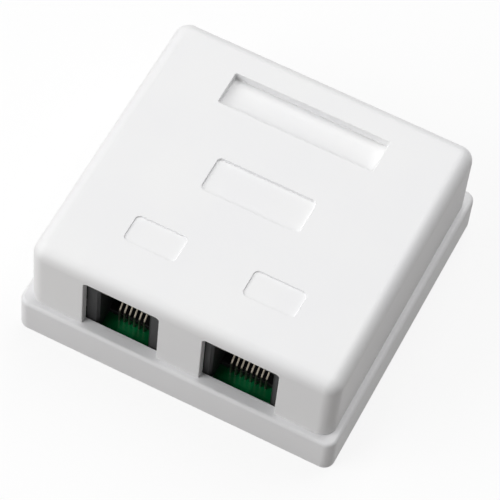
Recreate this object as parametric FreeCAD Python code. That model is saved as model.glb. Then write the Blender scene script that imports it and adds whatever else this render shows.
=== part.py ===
"""Surface mount jack box with one voice port and one data port, modelled as its separate pieces.

Frame: millimetres, +X along the port face, ports facing -Y, +Z up.
The origin is the middle of the flat underside of the base.
Each function below makes one piece, and main() writes every piece to parts/NAME.step.
"""
import FreeCAD
import Part
import math
import os

V = FreeCAD.Vector

# ---- Case: cover and base ------------------------------------------------------------------
COVER_LENGTH = 61.8        # along X
COVER_WIDTH = 60.0         # along Y
COVER_WALL = 1.5
COVER_TOP = 1.6            # thickness of the cover's top
COVER_HEADROOM = 1.6       # tops of the jacks to the underside of the cover's top
COVER_CORNER = 2.9         # upright corners, outside radius
COVER_EDGE = 2.7           # rolled edge round the top, outside radius
COVER_INNER_BEVEL = 1.0    # bevel inside that edge
RIM_HEIGHT = 8.4           # underside of the base to the rim that the cover stands on
RIM_SHELF = 1.4            # rim left showing round the foot of the cover
RIM_EDGE = 0.8             # rounding of the rim's outer edge
BASE_CORNER = 3.2
BASE_FLOOR = 2.0

# ---- Recesses in the top of the cover --------------------------------------------------------
LABEL_LENGTH = 31.9
LABEL_WIDTH = 7.45
LABEL_DEPTH = 1.6
LABEL_INSET = 7.1          # rear of the cover to the recess
RATING_LENGTH = 20.1
RATING_WIDTH = 7.8
RATING_DEPTH = 0.55
RATING_Y = 0.57            # middle of the cover to the middle of the recess
ICON_LENGTH = 10.45
ICON_WIDTH = 5.9
ICON_DEPTH = 0.45
ICON_INSET = 10.2          # front of the cover to the recesses
RECESS_CORNER = 1.0

# ---- Circuit board ---------------------------------------------------------------------------
BOARD_LENGTH = 48.0
BOARD_WIDTH = 34.6
BOARD_THICKNESS = 1.6
BOARD_TOP = 6.2            # height of the board's upper face above the underside of the base
BOARD_EDGE_GAP = 0.35      # front edge of the board to the wall of the base
BOARD_CORNER = 1.0

# ---- Modular jacks ---------------------------------------------------------------------------
JACK_SPACING = 24.0        # centre to centre
JACK_LENGTH = 15.2         # along X
JACK_DEPTH = 15.0          # along Y
JACK_HEIGHT = 15.6         # above the board
JACK_GAP = 0.1             # running gap between the jack's face and the inside of the cover
JACK_REAR_WALL = 2.0
PORT_GAP = 0.025           # the cut-out in the cover is this much wider than the jack each side
PORT_HEADROOM = 0.15       # and this much higher
PORT_CORNER = 0.8
PLUG_LENGTH_8 = 11.9       # width of an eight-position plug's opening
PLUG_LENGTH_6 = 10.0       # width of a six-position plug's opening
PLUG_TOP = 12.25           # top of that opening above the board
PLUG_LEAD_IN = 0.5
LATCH_LENGTH = 6.6
LATCH_HEIGHT = 1.2
LATCH_NECK_LENGTH = 4.0
LATCH_NECK_HEIGHT = 0.9
LATCH_CATCH = 1.5          # thickness of the wall that the plug's latch hooks behind
LATCH_RUN = 9.0            # how far back the latch's slot runs
SILL_START = 4.2           # jack face to the sill behind the contacts
SILL_HEIGHT = 1.1
COMB_DEPTH = 1.2
COMB_HEIGHT = 9.8
COMB_SLOT_FLOOR = 6.4
COMB_MARGIN = 0.9
PEG_RADIUS = 1.2
PEG_SPACING = 10.16
PEG_SETBACK = 8.9          # jack face to the pegs
PEG_GAP = 0.05
PEG_STICKOUT = 0.4         # below the board

# ---- Spring contacts -------------------------------------------------------------------------
CONTACT_PITCH = 1.016
CONTACT_WIDTH = 0.46
CONTACT_THICKNESS = 0.36
CONTACT_SETBACK = 3.6      # jack face to the contacts' feet
CONTACT_KNEE = 3.2         # height of the first bend above the board
CONTACT_RISE = 50.0        # slope above the first bend, degrees
CONTACT_RISE_RUN = 2.3
CONTACT_KNEE_RADIUS = 0.8
CONTACT_ARCH_RADIUS = 4.0
CONTACT_TIP_HEIGHT = 8.5
CONTACT_TIP_GAP = 0.25     # tip of the contact to the jack's rear wall
CONTACT_SIDE_GAP = 0.08    # contact to the side of its slot in the comb
TAIL_BELOW = 1.0           # soldered tails stick out this far under the board
CONTACT_SOLDER_RADIUS = 0.47
SOLDER_HEIGHT = 0.7
SOLDER_TIP_SHARE = 0.7     # a solder cone narrows to this share of its radius
SOLDER_SIDES = 6

# ---- Punch-down terminal blocks --------------------------------------------------------------
BLOCK_GAP = 3.9            # rear of the jacks to the blocks
BLOCK_DEPTH = 12.0
BLOCK_HEIGHT = 10.5
BLOCK_FOOT = 3.0
BLOCK_ROW = 3.8            # thickness of each row of teeth
BLOCK_END = 0.8            # half the extra length at the ends of a row
CLIP_PITCH = 3.4
CLIP_WIDTH = 2.1
CLIP_THICKNESS = 0.5
CLIP_HEIGHT = 9.2
CLIP_SLIT = 0.36
CLIP_SLIT_FLOOR = 5.2
CLIP_MOUTH = 1.1
CLIP_TAIL = 0.6
CLIP_GAP = 0.05
CLIP_SOLDER_RADIUS = 0.85
WIRE_SLOT = 0.9
WIRE_SLOT_FLOOR = 4.8
WIRE_MOUTH = 1.7

# ---- Board screws, posts and bosses ----------------------------------------------------------
SCREW_RADIUS = 1.1
SCREW_LENGTH = 5.0
SCREW_POINT = 0.9          # length of the tapered point
SCREW_TIP_RADIUS = 0.22
SCREW_HEAD_RADIUS = 2.0
SCREW_HEAD_HEIGHT = 1.3
SCREW_HEAD_BEVEL = 0.5
SCREW_CROSS = 0.6          # width of each arm of the cross recess
SCREW_CROSS_LENGTH = 2.4
SCREW_CROSS_DEPTH = 0.7
SCREW_HOLE_GAP = 0.05
BOARD_HOLE_GAP = 0.2
SCREW_EDGE = 2.1           # rear screws from the edges of the board
SCREW_FRONT_SETBACK = 10.0
BOSS_RADIUS = 2.6
BOSS_HOLE_SPARE = 0.3
POST_RADIUS = 2.2
PIN_RADIUS = 0.9
PIN_GAP = 0.1
PIN_EDGE = 3.6

# ---- Snap tabs, locating corners and fixings of the base ---------------------------------------
TAB_INSET = 16.5           # front and rear walls of the case to the middles of the tabs
TAB_WIDTH = 8.0
TAB_THICKNESS = 1.4
TAB_HEIGHT = 7.6           # above the rim
TAB_NOSE = 0.9
TAB_NOSE_CLEAR = 0.1
TAB_NOSE_HEIGHT = 2.3
TAB_NOSE_FLAT = 0.4
CATCH_DEPTH = 0.6
CATCH_MARGIN = 0.6
CORNER_LIP = 1.2
CORNER_LIP_HEIGHT = 2.6
CORNER_LIP_LENGTH = 5.0
CORNER_LIP_GAP = 0.15
FIXING_SPACING = 42.0
FIXING_INSET = 11.5        # rear wall of the case to the middles of the holes
FIXING_RADIUS = 2.0
FIXING_COLLAR_RADIUS = 4.2
FIXING_COLLAR = 1.0
ENTRY_LENGTH = 16.0
ENTRY_WIDTH = 10.0
ENTRY_CORNER = 2.5
ENTRY_INSET = 3.5          # rear wall of the case to the hole
TIE_LENGTH = 6.0
TIE_WIDTH = 4.0
TIE_HEIGHT = 3.0
TIE_SLOT_WIDTH = 2.6
TIE_SLOT_HEIGHT = 1.6
TIE_GAP = 2.0              # cable entry to the tie bridge
KNOCKOUT_LENGTH = 12.0
KNOCKOUT_HEIGHT = 6.5
KNOCKOUT_WEB = 0.5
PRESS_RIB = 1.0
PRESS_RIB_LENGTH = 8.0
PRESS_RIB_SPACING = 8.0

# ---- Modelling values ---------------------------------------------------------------------------
CUT_PAST = 1.0             # a cut runs on this far past an outer face
CUT_BEFORE = 0.5           # and starts this far before an inner one
SMALLEST_CORNER = 0.2
ROD_SIDES = 12              # sides of a small rod or hole that stays out of sight
SAME_PLACE = 1e-6

# ---- Places worked out from the sizes above ----------------------------------------------------
CASE_INNER_X = COVER_LENGTH / 2 - COVER_WALL
CASE_INNER_Y = COVER_WIDTH / 2 - COVER_WALL
CASE_INNER_CORNER = COVER_CORNER - COVER_WALL
BOARD_UNDERSIDE = BOARD_TOP - BOARD_THICKNESS
BOARD_FRONT = -CASE_INNER_Y + BOARD_EDGE_GAP
BOARD_REAR = BOARD_FRONT + BOARD_WIDTH
JACK_FACE = -CASE_INNER_Y + JACK_GAP
JACK_REAR = JACK_FACE + JACK_DEPTH
JACK_TOP = BOARD_TOP + JACK_HEIGHT
CEILING = JACK_TOP + COVER_HEADROOM
OVERALL_HEIGHT = CEILING + COVER_TOP
LABEL_Y = COVER_WIDTH / 2 - LABEL_INSET - LABEL_WIDTH / 2
ICON_Y = -COVER_WIDTH / 2 + ICON_INSET + ICON_WIDTH / 2
CONTACT_Y = JACK_FACE + CONTACT_SETBACK
VOICE_X = -JACK_SPACING / 2
DATA_X = JACK_SPACING / 2
JACKS = {
    "voice": {"x": VOICE_X, "contacts": 6, "plug_length": PLUG_LENGTH_6, "clips_per_row": 3},
    "data": {"x": DATA_X, "contacts": 8, "plug_length": PLUG_LENGTH_8, "clips_per_row": 4},
}
BLOCK_Y = JACK_REAR + BLOCK_GAP + BLOCK_DEPTH / 2
BLOCK_ROW_OFFSET = (BLOCK_DEPTH - BLOCK_ROW) / 2
TAB_Y = CASE_INNER_Y - TAB_INSET
FIXING_Y = CASE_INNER_Y - FIXING_INSET
ENTRY_Y = CASE_INNER_Y - ENTRY_INSET - ENTRY_WIDTH / 2
TIE_Y = ENTRY_Y - ENTRY_WIDTH / 2 - TIE_GAP - TIE_WIDTH / 2
SCREW_PLACES = [
    (0.0, JACK_FACE + SCREW_FRONT_SETBACK),
    (-BOARD_LENGTH / 2 + SCREW_EDGE, BOARD_REAR - SCREW_EDGE),
    (BOARD_LENGTH / 2 - SCREW_EDGE, BOARD_REAR - SCREW_EDGE),
]
PIN_PLACES = [
    (-BOARD_LENGTH / 2 + SCREW_EDGE, BOARD_FRONT + PIN_EDGE),
    (BOARD_LENGTH / 2 - SCREW_EDGE, BOARD_FRONT + PIN_EDGE),
]


# ---- Drawing helpers ---------------------------------------------------------------------------
def box(x0, x1, y0, y1, z0, z1):
    """A block between two opposite corners."""
    return Part.makeBox(x1 - x0, y1 - y0, z1 - z0, V(x0, y0, z0))


def block_at(x, y, length, width, z0, z1):
    """A block centred on x, y."""
    return box(x - length / 2, x + length / 2, y - width / 2, y + width / 2, z0, z1)


def rod(x, y, radius, z0, z1):
    """An upright cylinder."""
    return Part.makeCylinder(radius, z1 - z0, V(x, y, z0))


def faceted_cone(x, y, sides, z0, radius0, z1, radius1):
    """A cut-off pyramid between two heights, for small round things that taper."""
    rings = []
    for z, radius in ((z0, radius0), (z1, radius1)):
        turns = [2 * math.pi * i / sides for i in range(sides)]
        rings.append([V(x + radius * math.cos(turn), y + radius * math.sin(turn), z) for turn in turns])
    low, high = rings
    outlines = [low, high]
    for here in range(sides):
        there = (here + 1) % sides
        outlines.append([low[here], low[there], high[there], high[here]])
    faces = [Part.Face(Part.makePolygon(outline + outline[:1])) for outline in outlines]
    return Part.makeSolid(Part.makeShell(faces))


def faceted_rod(x, y, radius, z0, z1):
    """An upright many-sided rod, for small round things that nothing shows."""
    return faceted_cone(x, y, ROD_SIDES, z0, radius, z1, radius)


def rounded_outline(half_x, half_y, corner, z, x=0.0, y=0.0):
    """A level rectangle with rounded corners, as a closed wire."""
    edges = []
    quarter = math.pi / 2
    corners = [(1, 1, 0), (-1, 1, 1), (-1, -1, 2), (1, -1, 3)]
    for sign_x, sign_y, turn in corners:
        centre = V(x + sign_x * (half_x - corner), y + sign_y * (half_y - corner), z)
        circle = Part.Circle(centre, V(0, 0, 1), corner)
        edges.append(Part.Arc(circle, turn * quarter, (turn + 1) * quarter).toShape())
    sides = []
    for here, there in zip(edges, edges[1:] + edges[:1]):
        start = here.lastVertex().Point
        end = there.firstVertex().Point
        sides.append(Part.makeLine(start, end))
    ordered = []
    for arc, side in zip(edges, sides):
        ordered.extend([arc, side])
    return Part.Wire(ordered)


def rounded_block(half_x, half_y, corner, z0, z1, x=0.0, y=0.0):
    """An upright block with rounded corners."""
    face = Part.Face(rounded_outline(half_x, half_y, corner, z0, x, y))
    return face.extrude(V(0, 0, z1 - z0))


def front_profile(points, y0, y1):
    """An (x, z) polygon carried from y0 to y1."""
    corners = [V(x, y0, z) for x, z in points]
    face = Part.Face(Part.makePolygon(corners + corners[:1]))
    return face.extrude(V(0, y1 - y0, 0))


def bent_strip(points, radii, thickness, x0, x1):
    """A flat strip bent along a (y, z) path, with a round bend of the given radius at each inner point."""
    half = thickness / 2
    stations = [V(0, y, z) for y, z in points]
    left = []
    right = []

    def beside(point, along, side):
        return point + V(0, -along.z, along.y) * side

    start = stations[0]
    for before, bend, after, radius in zip(stations, stations[1:], stations[2:], radii):
        into = (bend - before).normalize()
        out = (after - bend).normalize()
        turn = into.getAngle(out)
        reach = radius * math.tan(turn / 2)
        arc_start = bend - into * reach
        arc_end = bend + out * reach
        towards = (out - into).normalize()
        centre = bend + towards * (radius / math.cos(turn / 2))
        middle = centre - towards * radius
        for run, side in ((left, half), (right, -half)):
            outward = (middle - centre).normalize()
            mid_along = V(0, (into + out).y, (into + out).z).normalize()
            sense = 1 if beside(V(), mid_along, side).dot(outward) > 0 else -1
            mid_point = middle + outward * (half * sense)
            first = beside(start, into, side)
            arc_first = beside(arc_start, into, side)
            arc_last = beside(arc_end, out, side)
            run.append(Part.makeLine(first, arc_first))
            run.append(Part.Arc(arc_first, mid_point, arc_last).toShape())
        start = arc_end
    along = (stations[-1] - stations[-2]).normalize()
    for run, side in ((left, half), (right, -half)):
        run.append(Part.makeLine(beside(start, along, side), beside(stations[-1], along, side)))
    first_cap = Part.makeLine(left[0].firstVertex().Point, right[0].firstVertex().Point)
    last_cap = Part.makeLine(left[-1].lastVertex().Point, right[-1].lastVertex().Point)
    outline = Part.Wire(Part.__sortEdges__(left + right + [first_cap, last_cap]))
    strip = Part.Face(outline).extrude(V(x1 - x0, 0, 0))
    strip.translate(V(x0, 0, 0))
    return strip


# ---- Cover -------------------------------------------------------------------------------------
def cover_shell():
    """The cover's outer block with its rolled top edge, and its hollow with a bevelled one."""
    outside = rounded_block(
        COVER_LENGTH / 2, COVER_WIDTH / 2, COVER_CORNER, RIM_HEIGHT, OVERALL_HEIGHT
    )
    outside = outside.makeFillet(COVER_EDGE, top_edges(outside, OVERALL_HEIGHT))
    hollow = rounded_block(CASE_INNER_X, CASE_INNER_Y, CASE_INNER_CORNER, RIM_HEIGHT, CEILING)
    hollow = hollow.makeChamfer(COVER_INNER_BEVEL, top_edges(hollow, CEILING))
    return outside, hollow


def top_edges(shape, height):
    """The edges that lie in the level plane at this height."""
    found = []
    for edge in shape.Edges:
        if all(abs(vertex.Z - height) < SAME_PLACE for vertex in edge.Vertexes):
            found.append(edge)
    return found


def cover_recesses():
    """Label, rating and icon recesses sunk in the cover's top."""
    cuts = [block_at(0, LABEL_Y, LABEL_LENGTH, LABEL_WIDTH, OVERALL_HEIGHT - LABEL_DEPTH, OVERALL_HEIGHT)]
    cuts.append(
        rounded_block(
            RATING_LENGTH / 2, RATING_WIDTH / 2, RECESS_CORNER,
            OVERALL_HEIGHT - RATING_DEPTH, OVERALL_HEIGHT, 0, RATING_Y,
        )
    )
    for x in (VOICE_X, DATA_X):
        cuts.append(
            rounded_block(
                ICON_LENGTH / 2, ICON_WIDTH / 2, RECESS_CORNER,
                OVERALL_HEIGHT - ICON_DEPTH, OVERALL_HEIGHT, x, ICON_Y,
            )
        )
    return cuts


def port_cutout(x):
    """The cut-out in the cover's front wall for one jack, open at the bottom."""
    half = JACK_LENGTH / 2 + PORT_GAP
    top = JACK_TOP + PORT_HEADROOM
    cut = box(
        x - half, x + half, -COVER_WIDTH / 2 - CUT_PAST, -CASE_INNER_Y + CUT_BEFORE,
        RIM_HEIGHT - CUT_PAST, top,
    )
    upper = []
    for edge in top_edges(cut, top):
        if abs(edge.firstVertex().X - edge.lastVertex().X) < SAME_PLACE:
            upper.append(edge)
    return cut.makeFillet(PORT_CORNER, upper)


def cover():
    """The white clip-on cover."""
    outside, hollow = cover_shell()
    shell = outside.cut(hollow)
    pad = block_at(
        0, LABEL_Y, LABEL_LENGTH + 2 * COVER_WALL, LABEL_WIDTH + 2 * COVER_WALL,
        OVERALL_HEIGHT - LABEL_DEPTH - COVER_TOP, CEILING,
    )
    ribs = []
    for x in (VOICE_X, DATA_X):
        for side in (-1, 1):
            ribs.append(
                block_at(
                    x + side * PRESS_RIB_SPACING / 2, (JACK_FACE + JACK_REAR) / 2,
                    PRESS_RIB, PRESS_RIB_LENGTH, JACK_TOP + PORT_HEADROOM, CEILING,
                )
            )
    shell = shell.fuse([pad] + ribs)
    cuts = cover_recesses()
    cuts.extend(port_cutout(x) for x in (VOICE_X, DATA_X))
    cuts.append(
        box(
            -KNOCKOUT_LENGTH / 2, KNOCKOUT_LENGTH / 2, CASE_INNER_Y - CUT_BEFORE,
            COVER_WIDTH / 2 - KNOCKOUT_WEB, RIM_HEIGHT - CUT_PAST, RIM_HEIGHT + KNOCKOUT_HEIGHT,
        )
    )
    nose_top = RIM_HEIGHT + TAB_HEIGHT
    for side in (-1, 1):
        near = side * (CASE_INNER_X - CUT_BEFORE)
        far = side * (CASE_INNER_X + CATCH_DEPTH)
        for y in (-TAB_Y, TAB_Y):
            cuts.append(
                box(
                    min(near, far), max(near, far),
                    y - TAB_WIDTH / 2 - CATCH_MARGIN, y + TAB_WIDTH / 2 + CATCH_MARGIN,
                    nose_top - TAB_NOSE_HEIGHT - CATCH_MARGIN / 2, nose_top,
                )
            )
    return shell.cut(cuts).removeSplitter()


# ---- Base --------------------------------------------------------------------------------------
def base_tray():
    """The outer block of the base with its rounded rim, hollowed to a tray."""
    block = rounded_block(
        COVER_LENGTH / 2 + RIM_SHELF, COVER_WIDTH / 2 + RIM_SHELF, BASE_CORNER, 0, RIM_HEIGHT
    )
    block = block.makeFillet(RIM_EDGE, top_edges(block, RIM_HEIGHT))
    hollow = rounded_block(
        CASE_INNER_X, CASE_INNER_Y, CASE_INNER_CORNER, BASE_FLOOR, RIM_HEIGHT + CUT_PAST
    )
    return block.cut(hollow)


def snap_tab(side, y):
    """An upstanding snap tab with its nose, held in as when the cover slides over it."""
    face = CASE_INNER_X - TAB_NOSE_CLEAR - TAB_NOSE
    back = face - TAB_THICKNESS
    top = RIM_HEIGHT + TAB_HEIGHT
    nose_floor = top - TAB_NOSE_HEIGHT
    nose = face + TAB_NOSE
    points = [
        (back, BASE_FLOOR), (face, BASE_FLOOR), (face, nose_floor), (nose, nose_floor),
        (nose, nose_floor + TAB_NOSE_FLAT), (face, top), (back, top),
    ]
    placed = [(side * x, z) for x, z in points]
    return front_profile(placed, y - TAB_WIDTH / 2, y + TAB_WIDTH / 2)


def locating_corners():
    """Four raised corner lips that centre the cover."""
    outer_x = CASE_INNER_X - CORNER_LIP_GAP
    outer_y = CASE_INNER_Y - CORNER_LIP_GAP
    corner = CASE_INNER_CORNER - CORNER_LIP_GAP
    top = RIM_HEIGHT + CORNER_LIP_HEIGHT
    inner_corner = max(corner - CORNER_LIP, SMALLEST_CORNER)
    ring = rounded_block(outer_x, outer_y, corner, BASE_FLOOR, top)
    inner = rounded_block(
        outer_x - CORNER_LIP, outer_y - CORNER_LIP, inner_corner, BASE_FLOOR, top
    )
    root = rounded_block(CASE_INNER_X, CASE_INNER_Y, CASE_INNER_CORNER, BASE_FLOOR, RIM_HEIGHT)
    lip = ring.cut(inner).fuse(root.cut(inner))
    lips = []
    for side_x in (-1, 1):
        for side_y in (-1, 1):
            x = side_x * (CASE_INNER_X - CORNER_LIP_LENGTH / 2)
            y = side_y * (CASE_INNER_Y - CORNER_LIP_LENGTH / 2)
            zone = block_at(x, y, CORNER_LIP_LENGTH, CORNER_LIP_LENGTH, BASE_FLOOR, top)
            lips.append(lip.common(zone))
    return lips


def board_supports():
    """Screw bosses and pinned posts that carry the board."""
    added = []
    holes = []
    for x, y in SCREW_PLACES:
        added.append(rod(x, y, BOSS_RADIUS, BASE_FLOOR, BOARD_UNDERSIDE))
        depth = BOARD_TOP - SCREW_LENGTH - BOSS_HOLE_SPARE
        holes.append(faceted_rod(x, y, SCREW_RADIUS + SCREW_HOLE_GAP, depth, BOARD_UNDERSIDE))
    for x, y in PIN_PLACES:
        added.append(rod(x, y, POST_RADIUS, BASE_FLOOR, BOARD_UNDERSIDE))
        added.append(rod(x, y, PIN_RADIUS, BOARD_UNDERSIDE, BOARD_TOP))
    return added, holes


def base():
    """The white base: tray, snap tabs, corner lips, board supports and wall fixings."""
    added, holes = board_supports()
    added.extend(locating_corners())
    for side in (-1, 1):
        for y in (-TAB_Y, TAB_Y):
            added.append(snap_tab(side, y))
        x = side * FIXING_SPACING / 2
        added.append(rod(x, FIXING_Y, FIXING_COLLAR_RADIUS, BASE_FLOOR, BASE_FLOOR + FIXING_COLLAR))
        holes.append(rod(x, FIXING_Y, FIXING_RADIUS, 0, BASE_FLOOR + FIXING_COLLAR))
    added.append(block_at(0, TIE_Y, TIE_LENGTH, TIE_WIDTH, BASE_FLOOR, BASE_FLOOR + TIE_HEIGHT))
    holes.append(
        block_at(0, TIE_Y, TIE_LENGTH, TIE_SLOT_WIDTH, BASE_FLOOR, BASE_FLOOR + TIE_SLOT_HEIGHT)
    )
    holes.append(
        rounded_block(ENTRY_LENGTH / 2, ENTRY_WIDTH / 2, ENTRY_CORNER, 0, BASE_FLOOR, 0, ENTRY_Y)
    )
    return base_tray().fuse(added).cut(holes).removeSplitter()


# ---- Board -------------------------------------------------------------------------------------
def contact_xs(jack):
    """Places along X of a jack's contacts."""
    first = jack["x"] - CONTACT_PITCH * (jack["contacts"] - 1) / 2
    return [first + CONTACT_PITCH * i for i in range(jack["contacts"])]


def clip_places(jack):
    """Places of a terminal block's clips, front row first."""
    per_row = jack["clips_per_row"]
    first = jack["x"] - CLIP_PITCH * (per_row - 1) / 2
    places = []
    for side in (-1, 1):
        for i in range(per_row):
            places.append((first + CLIP_PITCH * i, BLOCK_Y + side * BLOCK_ROW_OFFSET))
    return places


def peg_places(jack):
    """Places of the two pegs that hold a jack on the board."""
    y = JACK_FACE + PEG_SETBACK
    return [(jack["x"] + side * PEG_SPACING / 2, y) for side in (-1, 1)]


def soldered_tails():
    """Place, section and solder radius of every tail that goes through the board."""
    tails = []
    for jack in JACKS.values():
        for x in contact_xs(jack):
            tails.append((x, CONTACT_Y, CONTACT_WIDTH, CONTACT_THICKNESS, CONTACT_SOLDER_RADIUS))
        for x, y in clip_places(jack):
            tails.append((x, y, CLIP_TAIL, CLIP_THICKNESS, CLIP_SOLDER_RADIUS))
    return tails


def circuit_board():
    """The green board: round holes for screws, pins and pegs, and a tight hole round each tail."""
    y = (BOARD_FRONT + BOARD_REAR) / 2
    board = rounded_block(
        BOARD_LENGTH / 2, BOARD_WIDTH / 2, BOARD_CORNER, BOARD_UNDERSIDE, BOARD_TOP, 0, y
    )
    holes = []
    for place in SCREW_PLACES:
        holes.append((place, SCREW_RADIUS + BOARD_HOLE_GAP))
    for place in PIN_PLACES:
        holes.append((place, PIN_RADIUS + PIN_GAP))
    cuts = [rod(x, y, radius, BOARD_UNDERSIDE, BOARD_TOP) for (x, y), radius in holes]
    for jack in JACKS.values():
        for x, y in peg_places(jack):
            cuts.append(faceted_rod(x, y, PEG_RADIUS + PEG_GAP, BOARD_UNDERSIDE, BOARD_TOP))
    for x, y, length, width, _ in soldered_tails():
        cuts.append(block_at(x, y, length, width, BOARD_UNDERSIDE, BOARD_TOP))
    return board.cut(cuts)


# ---- Modular jacks -----------------------------------------------------------------------------
def plug_lead_in(x, plug_length):
    """The tapered mouth that leads a plug into the jack."""
    wires = []
    for depth, spread in ((0, PLUG_LEAD_IN), (PLUG_LEAD_IN, 0)):
        half = plug_length / 2 + spread
        top = BOARD_TOP + PLUG_TOP + spread
        y = JACK_FACE + depth
        corners = [
            V(x - half, y, BOARD_TOP), V(x + half, y, BOARD_TOP),
            V(x + half, y, top), V(x - half, y, top),
        ]
        wires.append(Part.makePolygon(corners + corners[:1]))
    return Part.makeLoft(wires, True, True)


def latch_slots(x):
    """The stepped slot over the plug for its latch, with the catch behind the front wall."""
    top = BOARD_TOP + PLUG_TOP
    step = top + LATCH_HEIGHT
    crown = step + LATCH_NECK_HEIGHT
    front = JACK_FACE
    rear = JACK_FACE + LATCH_RUN
    lower = box(x - LATCH_LENGTH / 2, x + LATCH_LENGTH / 2, front, rear, top, step)
    neck = box(x - LATCH_NECK_LENGTH / 2, x + LATCH_NECK_LENGTH / 2, front, rear, step, crown)
    catch = box(x - LATCH_LENGTH / 2, x + LATCH_LENGTH / 2, front + LATCH_CATCH, rear, step, crown)
    return [lower, neck, catch]


def jack_housing(jack):
    """A side-entry jack housing, open underneath in front of its sill, with a comb at the back."""
    x = jack["x"]
    body = box(
        x - JACK_LENGTH / 2, x + JACK_LENGTH / 2, JACK_FACE, JACK_REAR, BOARD_TOP, JACK_TOP
    )
    half = jack["plug_length"] / 2
    cavity_rear = JACK_REAR - JACK_REAR_WALL
    cavity = box(x - half, x + half, JACK_FACE, cavity_rear, BOARD_TOP, BOARD_TOP + PLUG_TOP)
    body = body.cut([cavity, plug_lead_in(x, jack["plug_length"])] + latch_slots(x))
    sill = box(x - half, x + half, JACK_FACE + SILL_START, cavity_rear, BOARD_TOP, BOARD_TOP + SILL_HEIGHT)
    comb_half = CONTACT_PITCH * jack["contacts"] / 2 + COMB_MARGIN
    comb = box(
        x - comb_half, x + comb_half, cavity_rear - COMB_DEPTH, cavity_rear,
        BOARD_TOP, BOARD_TOP + COMB_HEIGHT,
    )
    pegs = []
    for peg_x, peg_y in peg_places(jack):
        pegs.append(faceted_rod(peg_x, peg_y, PEG_RADIUS, BOARD_UNDERSIDE - PEG_STICKOUT, BOARD_TOP))
    body = body.fuse([sill, comb] + pegs)
    slot = CONTACT_WIDTH + 2 * CONTACT_SIDE_GAP
    slots = []
    for contact_x in contact_xs(jack):
        slots.append(
            box(
                contact_x - slot / 2, contact_x + slot / 2, cavity_rear - COMB_DEPTH, cavity_rear,
                BOARD_TOP + COMB_SLOT_FLOOR, BOARD_TOP + COMB_HEIGHT,
            )
        )
    return body.cut(slots).removeSplitter()


def contact_strip(x):
    """One spring contact: soldered foot, first bend, rise and shallow spring arm to the comb."""
    rise = CONTACT_RISE_RUN * math.tan(math.radians(CONTACT_RISE))
    tip_y = JACK_REAR - JACK_REAR_WALL - CONTACT_TIP_GAP
    path = [
        (CONTACT_Y, BOARD_UNDERSIDE - TAIL_BELOW),
        (CONTACT_Y, BOARD_TOP + CONTACT_KNEE),
        (CONTACT_Y + CONTACT_RISE_RUN, BOARD_TOP + CONTACT_KNEE + rise),
        (tip_y, BOARD_TOP + CONTACT_TIP_HEIGHT),
    ]
    radii = [CONTACT_KNEE_RADIUS, CONTACT_ARCH_RADIUS]
    return bent_strip(path, radii, CONTACT_THICKNESS, x - CONTACT_WIDTH / 2, x + CONTACT_WIDTH / 2)


# ---- Punch-down terminal blocks ----------------------------------------------------------------
def terminal_block(jack):
    """A two-row punch-down block: a foot, and two rows of teeth with a wire channel between."""
    x = jack["x"]
    half = CLIP_PITCH * jack["clips_per_row"] / 2 + BLOCK_END
    front = BLOCK_Y - BLOCK_DEPTH / 2
    rear = BLOCK_Y + BLOCK_DEPTH / 2
    top = BOARD_TOP + BLOCK_HEIGHT
    body = box(x - half, x + half, front, rear, BOARD_TOP, top)
    channel = box(
        x - half, x + half, front + BLOCK_ROW, rear - BLOCK_ROW, BOARD_TOP + BLOCK_FOOT, top
    )
    cuts = [channel]
    floor = BOARD_TOP + WIRE_SLOT_FLOOR
    flare = top - (WIRE_MOUTH - WIRE_SLOT)
    for clip_x, clip_y in clip_places(jack):
        y0 = clip_y - BLOCK_ROW / 2
        y1 = clip_y + BLOCK_ROW / 2
        outline = [
            (clip_x - WIRE_SLOT / 2, floor), (clip_x + WIRE_SLOT / 2, floor),
            (clip_x + WIRE_SLOT / 2, flare), (clip_x + WIRE_MOUTH / 2, top),
            (clip_x - WIRE_MOUTH / 2, top), (clip_x - WIRE_SLOT / 2, flare),
        ]
        cuts.append(front_profile(outline, y0, y1))
        cuts.append(
            block_at(
                clip_x, clip_y, CLIP_WIDTH + 2 * CLIP_GAP, CLIP_THICKNESS + 2 * CLIP_GAP,
                BOARD_TOP, BOARD_TOP + CLIP_HEIGHT + CLIP_GAP,
            )
        )
    return body.cut(cuts)


def terminal_clip(x, y):
    """A flat metal clip with a slit that bites the wire, and a soldered tail."""
    foot = BOARD_TOP + CLIP_GAP
    top = BOARD_TOP + CLIP_HEIGHT
    floor = BOARD_TOP + CLIP_SLIT_FLOOR
    flare = top - CLIP_MOUTH
    tail = BOARD_UNDERSIDE - TAIL_BELOW
    outline = [
        (x - CLIP_TAIL / 2, tail), (x + CLIP_TAIL / 2, tail), (x + CLIP_TAIL / 2, foot),
        (x + CLIP_WIDTH / 2, foot), (x + CLIP_WIDTH / 2, top), (x + CLIP_MOUTH / 2, top),
        (x + CLIP_SLIT / 2, flare), (x + CLIP_SLIT / 2, floor), (x - CLIP_SLIT / 2, floor),
        (x - CLIP_SLIT / 2, flare), (x - CLIP_MOUTH / 2, top), (x - CLIP_WIDTH / 2, top),
        (x - CLIP_WIDTH / 2, foot), (x - CLIP_TAIL / 2, foot),
    ]
    return front_profile(outline, y - CLIP_THICKNESS / 2, y + CLIP_THICKNESS / 2)


def solder_joints():
    """A small cone of solder round each tail under the board, as a group of separate solids."""
    end = BOARD_UNDERSIDE - SOLDER_HEIGHT
    joints = []
    for x, y, length, width, radius in soldered_tails():
        tip_radius = radius * SOLDER_TIP_SHARE
        cone = faceted_cone(x, y, SOLDER_SIDES, end, tip_radius, BOARD_UNDERSIDE, radius)
        joints.append(cone.cut(block_at(x, y, length, width, end, BOARD_UNDERSIDE)))
    return Part.makeCompound(joints)


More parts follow.
